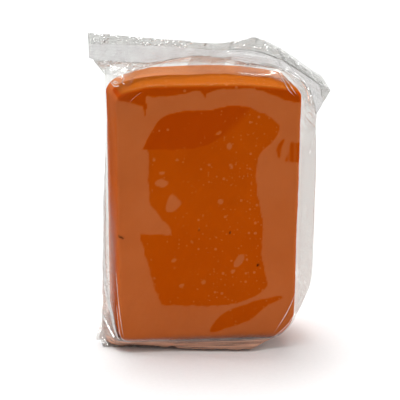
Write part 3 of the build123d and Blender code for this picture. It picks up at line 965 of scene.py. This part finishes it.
def pinched(lines, surface, outwards, seen, width=0.2, height=0.12, rings_each=40):
    """Thin closed ridges with pointed ends, along lines over a surface, as points and faces.

    seen is the pair of axes that the lines are drawn in; the third comes from the four nearest points.
    """
    flat, normals = surface.reshape(-1, 3), outwards.reshape(-1, 3)
    points, faces = [], []
    for line in lines:
        path = spline(line, rings_each)
        gaps = np.linalg.norm(flat[None, :, seen] - path[:, None, :], axis=2)
        near = np.argpartition(gaps, 4, axis=1)[:, :4]
        weight = 1 / (np.take_along_axis(gaps, near, axis=1) + 0.05)
        weight /= weight.sum(axis=1)[:, None]
        middle = (flat[near] * weight[:, :, None]).sum(axis=1)
        middle[:, seen] = path
        out = (normals[near] * weight[:, :, None]).sum(axis=1)
        out /= np.linalg.norm(out, axis=1)[:, None]
        along = np.gradient(middle, axis=0)
        along /= np.linalg.norm(along, axis=1)[:, None]
        taper = 0.15 + 0.85 * np.sin(np.linspace(0, math.pi, rings_each))[:, None]
        half = np.cross(along, out) * width / 2 * taper
        foot = out * RIDGE_GAP
        rings = np.stack([middle - half + foot, middle + out * height, middle + half + foot], axis=1)
        first = len(points)
        points.extend(rings.reshape(-1, 3))
        for ring in range(rings_each - 1):
            a, b, c = (first + 3 * ring + k for k in range(3))
            faces += [(c, c + 3, b + 3, b), (b, b + 3, a + 3, a), (a, a + 3, c + 3, c)]
        last = first + 3 * (rings_each - 1)
        faces += [(first, first + 2, first + 1), (last, last + 1, last + 2)]
    return points, faces


def short_lines(batches, low, high):
    """Short lines, about level, scattered between two (x, z) lines. A batch is (count, seed, left, right)."""
    lines = []
    for count, seed, left, right in batches:
        random = np.random.default_rng(seed)
        for _ in range(count):
            x = left + (right - left) * random.random()
            bottom, top = float(look_up(x, low)[0]), float(look_up(x, high)[0])
            z = bottom + (top - bottom) * random.random()
            reach, lean = 0.3 + 0.4 * random.random(), random.normal() * 0.35
            lines.append(((x - reach, z - reach * lean), (x, z + 0.06), (x + reach, z + reach * lean)))
    return lines


def front_of(film_grid):
    """The front half of the tube's grid, and its outward normals."""
    half = slice(0, film_grid.shape[1] // 2 + 1)
    return film_grid[:, half], grid_normals(film_grid)[:, half]


def make_glints(film_grid, skirt_front, material):
    """The small hard creases of the crumpled film along the seal's cut edge and in the gathered corners."""
    low, top, cut = ([(x, z) for x, _, z in line] for line in (SEAL_LOW, SEAL_MIDDLE, SEAL_EDGE))
    lines = short_lines(SKIRT_GLINTS, top, cut)
    on_skirt = pinched(lines, skirt_front, sheet_normals(skirt_front), FRONT_VIEW, 0.34, 0.22, GLINT_RINGS)
    lines = short_lines(GATHER_GLINTS, GATHER_LOW, low)
    in_gather = pinched(lines, *front_of(film_grid), FRONT_VIEW, 0.24, 0.18, GLINT_RINGS)
    return [
        mesh_piece("skirt_glints", *on_skirt, material, smooth=False),
        mesh_piece("gather_glints", *in_gather, material, smooth=False),
    ]


def make_creases(film_grid, bright_material, clay_mirroring_material):
    """The film's sharpest creases: pale ones, ones whose reflection has the clay's colour painted in, and
    broad ones on the left side.
    """
    front = front_of(film_grid)
    left = film_grid[:, :, 0] < LEFT_SIDE
    side = (film_grid[left], grid_normals(film_grid)[left])
    bright = pinched(CREASES, *front, FRONT_VIEW)
    clay_mirroring = pinched(CLAY_MIRRORING_CREASES, *front, FRONT_VIEW)
    broad = pinched(SIDE_CREASES, *side, SIDE_VIEW, width=1.1, height=0.35)
    return [
        mesh_piece("creases", *bright, bright_material, smooth=False),
        mesh_piece("clay_mirroring_creases", *clay_mirroring, clay_mirroring_material, smooth=False),
        mesh_piece("side_creases", *broad, bright_material, smooth=False),
    ]


# ---------------------------------------------------------------- materials


def new_material(name):
    """An empty node material, and a function that adds a node to it and sets its sockets and properties."""
    material = bpy.data.materials.new(name)
    material.use_nodes = True
    tree = material.node_tree
    tree.nodes.clear()

    def node(kind, inputs=None, **properties):
        made = tree.nodes.new("ShaderNode" + kind)
        for key, value in properties.items():
            setattr(made, key, value)
        for key, value in (inputs or {}).items():
            if isinstance(value, bpy.types.NodeSocket):
                tree.links.new(value, made.inputs[key])
            else:
                made.inputs[key].default_value = value
        return made

    return material, node


def srgb(red, green, blue):
    """A colour from 0..255 display values, as linear light."""
    share = [c / 255 for c in (red, green, blue)]
    return (*[c / 12.92 if c <= 0.04045 else ((c + 0.055) / 1.055) ** 2.4 for c in share], 1)


# Clay with air under the film, wetted by it, and pressed hard; each drifts to its warm neighbour
CLAY_PALE = (0.72, 0.172, 0.040, 1)
CLAY_PALE_WARM = (0.76, 0.192, 0.050, 1)
CLAY_WET = (0.68, 0.098, 0.001, 1)
CLAY_WET_WARM = (0.72, 0.112, 0.002, 1)
CLAY_PRESSED = (0.62, 0.074, 0.001, 1)
# The clay's top face has its own colours, matched to the strong light on top: the wetted one is darker than
# the front's, which is painted shade, and the pale one is paler and pinker
TOP_PALE = (0.68, 0.265, 0.115, 1)
TOP_WET_PAINTED_SHADE = (0.48, 0.118, 0.011, 1)
SPECK_COLOUR = (0.80, 0.25, 0.08, 1)
GRIT_COLOUR = srgb(60, 30, 18)
PAINTED_CLAY_LIGHT_COLOUR = (0.74, 0.40, 0.27, 1)  # painted light: the clay's colour as reflected in the film
FILM_GREY = srgb(236, 234, 232)
STUCK_CLEAR = (0.95, 0.95, 0.945, 1)
WHITE = (1, 1, 1, 1)
# Pinholes of air in the wetted patch: how many per metre, radius as a share of the spacing, and strength
PINHOLES = ((430.0, 0.15, 0.45), (900.0, 0.19, 0.35))


def metres(node):
    """Object position, as a vector socket."""
    return node("TexCoord").outputs["Object"]


def noise(node, where, per_metre, detail=2.0, roughness=0.5):
    """A noise texture's value socket."""
    made = node("TexNoise", {"Vector": where, "Scale": per_metre, "Detail": detail, "Roughness": roughness})
    return made.outputs["Fac"]


def mapped(node, value, low, high, to_low=0.0, to_high=1.0):
    """A value moved from one range to another, held at the ends."""
    inputs = {"Value": value, "From Min": low, "From Max": high, "To Min": to_low, "To Max": to_high}
    return node("MapRange", inputs).outputs["Result"]


def maths(node, operation, a, b):
    """A Math node's value socket."""
    return node("Math", {0: a, 1: b}, operation=operation).outputs[0]


def blended(node, factor, a, b):
    """A colour mix's result socket."""
    made = node("Mix", {"Factor": factor, "A": a, "B": b}, data_type="RGBA")
    return made.outputs["Result"]


def attribute(node, name):
    """A vertex attribute's value socket."""
    return node("Attribute", attribute_name=name).outputs["Fac"]


def clay_material():
    """Orange detailing clay: pale where air lies under the film, deep where the film has wetted it."""
    material, node = new_material("clay")
    where = metres(node)
    contact = attribute(node, "contact")
    broad = noise(node, where, 45, 2)
    mottle = noise(node, where, 260, 4, 0.6)
    top = attribute(node, "top")
    drift = mapped(node, broad, 0.35, 0.65)
    # On the top face the top's own colours take over; the wetted one holds painted shade
    pale = blended(node, top, blended(node, drift, CLAY_PALE, CLAY_PALE_WARM), TOP_PALE)
    wetted = blended(node, top, blended(node, drift, CLAY_WET, CLAY_WET_WARM), TOP_WET_PAINTED_SHADE)
    pressed = blended(node, top, CLAY_PRESSED, TOP_WET_PAINTED_SHADE)
    colour = blended(node, mapped(node, contact, 0.0, WETTED), pale, wetted)
    colour = blended(node, mapped(node, contact, 0.78, 1.0), colour, pressed)
    colour = blended(node, mapped(node, mottle, 0.3, 0.75, 0.0, 0.12), colour, CLAY_WET)
    # Pinholes of air, seen as pale specks inside the wetted patch
    across = node("SeparateXYZ", {"Vector": where}).outputs["X"]
    crowd = mapped(node, across, -0.012, 0.012, 0.10, 0.42)
    for per_metre, radius, strength in PINHOLES:
        cells = node("TexVoronoi", {"Vector": where, "Scale": per_metre, "Randomness": 1.0})
        speck = mapped(node, cells.outputs["Distance"], radius, radius * 1.5, 1.0, 0.0)
        chance = node("SeparateColor", {"Color": cells.outputs["Color"]}).outputs["Red"]
        speck = maths(node, "MULTIPLY", speck, maths(node, "LESS_THAN", chance, crowd))
        speck = maths(node, "MULTIPLY", speck, mapped(node, contact, 0.5, WETTED, 0.0, strength))
        colour = blended(node, speck, colour, SPECK_COLOUR)
    colour = blended(node, attribute(node, "grit"), colour, GRIT_COLOUR)
    fine = noise(node, where, 2600, 3, 0.6)
    coarse = noise(node, where, 500, 3, 0.55)
    height = maths(node, "ADD", maths(node, "MULTIPLY", fine, 0.35), coarse)
    bump = node("Bump", {"Height": height, "Strength": 0.35, "Distance": 0.00018})
    rough = mapped(node, contact, 0.0, WETTED, 0.62, 0.44)
    rough = maths(node, "ADD", rough, mapped(node, mottle, 0.3, 0.7, -0.05, 0.05))
    # The film does the mirroring, so the clay under it has no gloss of its own
    inputs = {"Base Color": colour, "Roughness": rough, "Specular IOR Level": 0.0}
    shader = node("BsdfPrincipled", {**inputs, "Normal": bump.outputs["Normal"]})
    node("OutputMaterial", {"Surface": shader.outputs[0]})
    return material


def film_material(name, veil, clear_colour, creases_per_metre, bump_depth):
    """Clear film: light goes straight through, it mirrors at a slant, and creases make it faintly milky."""
    material, node = new_material(name)
    where = metres(node)
    crinkle = attribute(node, "crinkle")
    inputs = {"Vector": where, "Scale": creases_per_metre, "Randomness": 1.0}
    cells = node("TexVoronoi", inputs, feature="DISTANCE_TO_EDGE")
    ridges = mapped(node, cells.outputs["Distance"], 0.0, 0.25)
    soft = noise(node, where, creases_per_metre * 0.8, 3, 0.6)
    height = maths(node, "ADD", maths(node, "MULTIPLY", ridges, 0.5), soft)
    height = maths(node, "MULTIPLY", height, crinkle)
    bump = node("Bump", {"Height": height, "Strength": 0.6, "Distance": bump_depth})
    gloss = node("BsdfGlossy", {"Color": WHITE, "Roughness": 0.14, "Normal": bump.outputs["Normal"]})
    tint = blended(node, mapped(node, crinkle, STUCK_CRINKLE, 0.3), STUCK_CLEAR, clear_colour)
    clear = node("BsdfTransparent", {"Color": tint})
    # Here and there the film's haze takes the clay's colour in streaks: painted reflection of the clay under
    # the bar, a painted glare behind the top right edge, and painted lighter streaks low on the left side
    painted_clay_light = attribute(node, "painted_clay_light")
    haze_colour = blended(node, painted_clay_light, FILM_GREY, PAINTED_CLAY_LIGHT_COLOUR)
    haze = node("BsdfDiffuse", {"Color": haze_colour, "Normal": bump.outputs["Normal"]})
    cloud = mapped(node, noise(node, where, 320, 3, 0.6), 0.3, 0.75, 0.7, 1.3)
    milky = maths(node, "MULTIPLY", cloud, mapped(node, crinkle, 0.12, 0.7, 0.0, veil))
    stretched = node("Mapping", {"Vector": where, "Scale": (45, 500, 2200)}).outputs["Vector"]
    streaks = mapped(node, noise(node, stretched, 1.0, 2, 0.6), 0.4, 0.6, 0.25, 0.8)
    milky = maths(node, "ADD", milky, maths(node, "MULTIPLY", streaks, painted_clay_light))
    fresnel = node("Fresnel", {"IOR": 1.45, "Normal": bump.outputs["Normal"]})
    mirrors = maths(node, "MULTIPLY", fresnel.outputs[0], mapped(node, crinkle, 0.2, 0.9, 0.004, 0.9))
    body = node("MixShader", {"Fac": milky, 1: clear.outputs[0], 2: haze.outputs[0]})
    shader = node("MixShader", {"Fac": mirrors, 1: body.outputs[0], 2: gloss.outputs[0]})
    node("OutputMaterial", {"Surface": shader.outputs[0]})
    return material


def crease_material(name, colour, strength):
    """A pinched crease in the film, which throws back more light than the flat film does."""
    material, node = new_material(name)
    where = metres(node)
    broken = mapped(node, noise(node, where, 900, 3, 0.6), 0.3, 0.7, strength * 0.4, strength)
    clear = node("BsdfTransparent", {"Color": STUCK_CLEAR})
    gloss = node("BsdfGlossy", {"Color": colour, "Roughness": 0.25})
    shader = node("MixShader", {"Fac": broken, 1: clear.outputs[0], 2: gloss.outputs[0]})
    node("OutputMaterial", {"Surface": shader.outputs[0]})
    return material


def floor_material():
    """Plain pale studio paper with the faintest tooth."""
    material, node = new_material("studio_floor")
    grain = mapped(node, noise(node, metres(node), 900, 3), 0.3, 0.7)
    colour = blended(node, grain, (0.90, 0.90, 0.90, 1), (0.92, 0.92, 0.92, 1))
    shader = node("BsdfDiffuse", {"Color": colour})
    node("OutputMaterial", {"Surface": shader.outputs[0]})
    return material


# ---------------------------------------------------------------- the studio


def softbox(name, place, aim, size, watts, spread=180):
    """A square area light that faces a point. Millimetres and degrees."""
    lamp = bpy.data.lights.new(name, "AREA")
    lamp.size = size * MM
    lamp.energy = watts
    lamp.spread = math.radians(spread)
    made = bpy.data.objects.new(name, lamp)
    made.location = Vector(place) * MM
    made.rotation_euler = (Vector(aim) - Vector(place)).to_track_quat("-Z", "Y").to_euler()
    bpy.context.scene.collection.objects.link(made)


SWEEP_FRONT = -700  # its front edge
SWEEP_BEND = 420  # where it starts to rise
SWEEP_RADIUS = 260
SWEEP_TOP = 1400
SWEEP_HALF_WIDTH = 1500
SWEEP_COLUMNS = 9
ROOM_LIGHT = 0.32  # the world's strength as light on things
ROOM_MIRRORED = 0.75  # and as it is seen in mirrors
CAMERA_PLACE = (-89.6, -604.5, 231.1)
CAMERA_AIM = (0, 0, 41)
CAMERA_ROLL = math.radians(1.2)


def make_sweep():
    """The pale floor, which bends up into a wall behind."""
    profile = [(SWEEP_FRONT, 0), (SWEEP_BEND, 0)]
    for turn in np.linspace(0.05, math.pi / 2, 26):
        y = SWEEP_BEND + SWEEP_RADIUS * math.sin(turn)
        profile.append((y, SWEEP_RADIUS - SWEEP_RADIUS * math.cos(turn)))
    profile.append((SWEEP_BEND + SWEEP_RADIUS, SWEEP_TOP))
    across = np.linspace(-SWEEP_HALF_WIDTH, SWEEP_HALF_WIDTH, SWEEP_COLUMNS)
    points = [(x, y, z) for y, z in profile for x in across]
    faces = grid_faces(SWEEP_COLUMNS, len(profile), False)
    return mesh_piece("studio_sweep", points, faces, floor_material())


def make_studio():
    """A pale sweep, soft lamps, a pale world and the camera."""
    make_sweep()
    # Name, place, aim, size, watts and spread
    softbox("overhead", (-40, 120, 620), (0, 60, 0), 620, 3.3)
    softbox("back_wash", (0, 430, 350), (0, 300, 0), 300, 0.55)
    softbox("right_rim", (420, -60, 240), (0, 0, 50), 120, 0.3)
    softbox("left_low", (-220, 45, 200), (-32, 5, 12), 50, 0.003, spread=15)
    softbox("near_floor", (0, 50, 330), (0, -90, 0), 120, 0.05, spread=60)
    world = bpy.data.worlds.new("studio")
    world.use_nodes = True
    tree = world.node_tree
    room = tree.nodes["Background"]
    room.inputs["Color"].default_value = WHITE
    # Mirrored in the film the room is as bright as its walls; as light on the clay it is dimmer
    path = tree.nodes.new("ShaderNodeLightPath")
    strength = tree.nodes.new("ShaderNodeMapRange")
    strength.inputs["To Min"].default_value = ROOM_LIGHT
    strength.inputs["To Max"].default_value = ROOM_MIRRORED
    tree.links.new(path.outputs["Is Glossy Ray"], strength.inputs["Value"])
    tree.links.new(strength.outputs["Result"], room.inputs["Strength"])
    scene = bpy.context.scene
    scene.world = world
    scene.view_settings.view_transform = "Standard"
    scene.cycles.transparent_max_bounces = 48
    camera = bpy.data.cameras.new("camera")
    camera.lens = 200.6
    camera.sensor_width = 36
    camera.clip_start = 0.01
    made = bpy.data.objects.new("camera", camera)
    made.location = Vector(CAMERA_PLACE) * MM
    aim = (Vector(CAMERA_AIM) * MM - made.location).to_track_quat("-Z", "Y")
    made.rotation_euler = (aim @ Quaternion((0, 0, 1), CAMERA_ROLL)).to_euler()
    scene.collection.objects.link(made)
    scene.camera = made


# ---------------------------------------------------------------- put together

# Name, milkiness, tint of the clear film, creases per metre and their depth in metres
film = film_material("film", 0.12, (0.909, 0.912, 0.903, 1), 700, 0.0003)
weld = film_material("film_weld", 0.22, (0.83, 0.83, 0.825, 1), 520, 0.0002)
# A clearer copy of the film, so that the back seam and the bottom ear that use it look lighter: painted light
fin = film_material("film_fin", 0.10, (0.96, 0.955, 0.95, 1), 600, 0.0002)
crease = crease_material("film_crease", WHITE, 0.75)
# Its clay colour is a painted reflection of the orange clay in these creases
clay_mirroring_crease = crease_material("film_clay_mirroring_crease", PAINTED_CLAY_LIGHT_COLOUR, 0.8)

clay = make_clay(clay_material())
wrapper, film_grid = make_film(film)
seal_pieces, skirt_sheet = make_seal(film, weld)
top_seal, hanging_end, skirt_front, skirt_back = seal_pieces
back_seam = make_back_seam(film_grid, fin)
bottom_seal, bottom_ear = make_bottom(fin, weld)
creases = make_creases(film_grid, crease, clay_mirroring_crease)
skirt_glints, gather_glints = make_glints(film_grid, skirt_sheet, crease)

for piece, slot, nodes in (
    (clay, "clay", ["clay_block"]),
    (wrapper, "film", ["film_sleeve", "side_slack", "top_gather", "bottom_gather"]),
    (top_seal, "film_weld", ["top_seal_band"]),
    (skirt_front, "film", ["top_seal_skirt"]),
    (skirt_back, "film", ["top_seal_skirt"]),
    (hanging_end, "film_weld", ["seal_hanging_end"]),
    (back_seam, "film_weld", ["back_fin_seam"]),
    (bottom_seal, "film_weld", ["bottom_end_seal"]),
    (bottom_ear, "film", ["bottom_left_ear"]),
    *[(piece, "film", ["film_sleeve"]) for piece in creases],
    (skirt_glints, "film", ["top_seal_skirt"]),
    (gather_glints, "film", ["top_gather"]),
):
    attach(piece, "root")
    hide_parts(*nodes)

make_studio()
